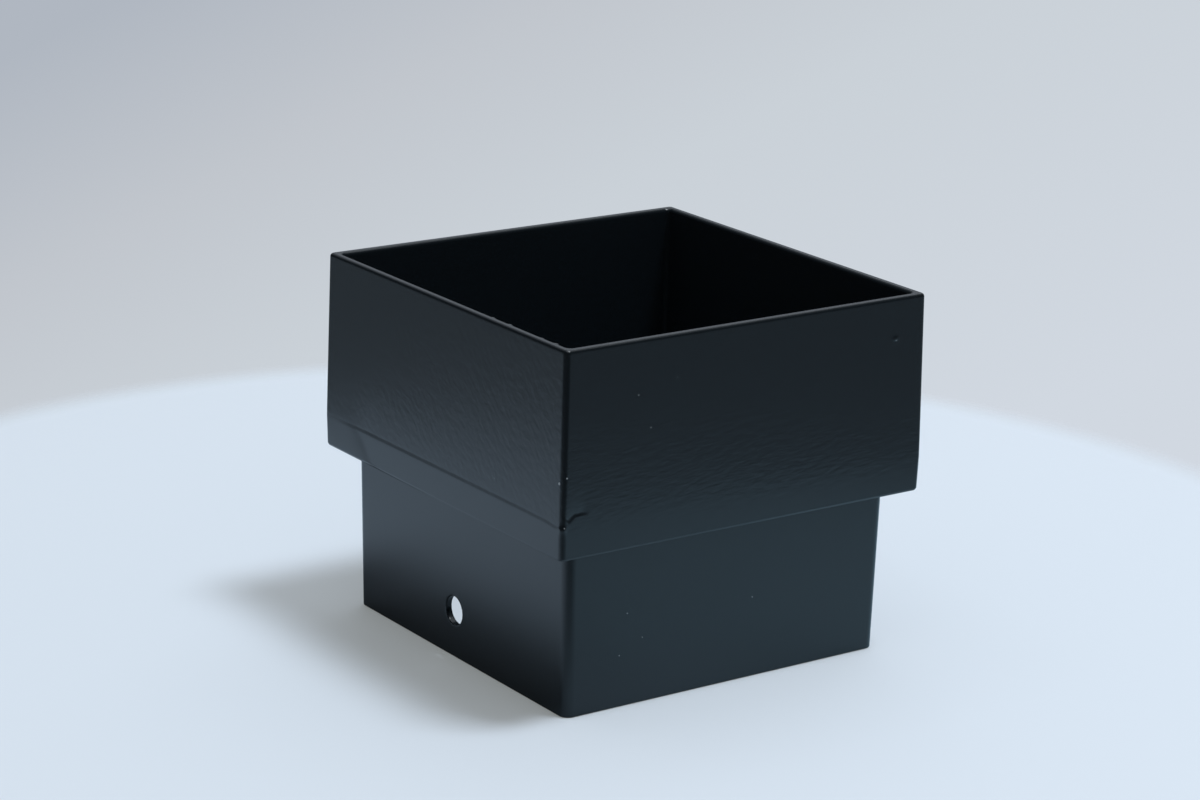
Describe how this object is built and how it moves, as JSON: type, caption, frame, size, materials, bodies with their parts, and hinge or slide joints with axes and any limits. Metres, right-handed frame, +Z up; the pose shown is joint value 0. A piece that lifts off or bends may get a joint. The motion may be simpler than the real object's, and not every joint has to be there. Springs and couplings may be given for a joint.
{
  "type": "downpipe socket",
  "caption": "One-piece square downpipe socket: a collar takes the pipe above, a narrower spigot with one fixing hole enters the pipe below.",
  "frame": {"origin": "centre of the spigot's open end, which the part stands on", "axes": "+Z up along the pipe run, from the spigot towards the collar's mouth; the fixing hole is in the -Y wall; +X completes the frame"},
  "size_m": [0.0856, 0.0856, 0.0739],
  "materials": {
    "powder_coat": "satin"
  },
  "bodies": {
    "root": {"socket_casting": "powder_coat"}
  },
  "joints": []
}
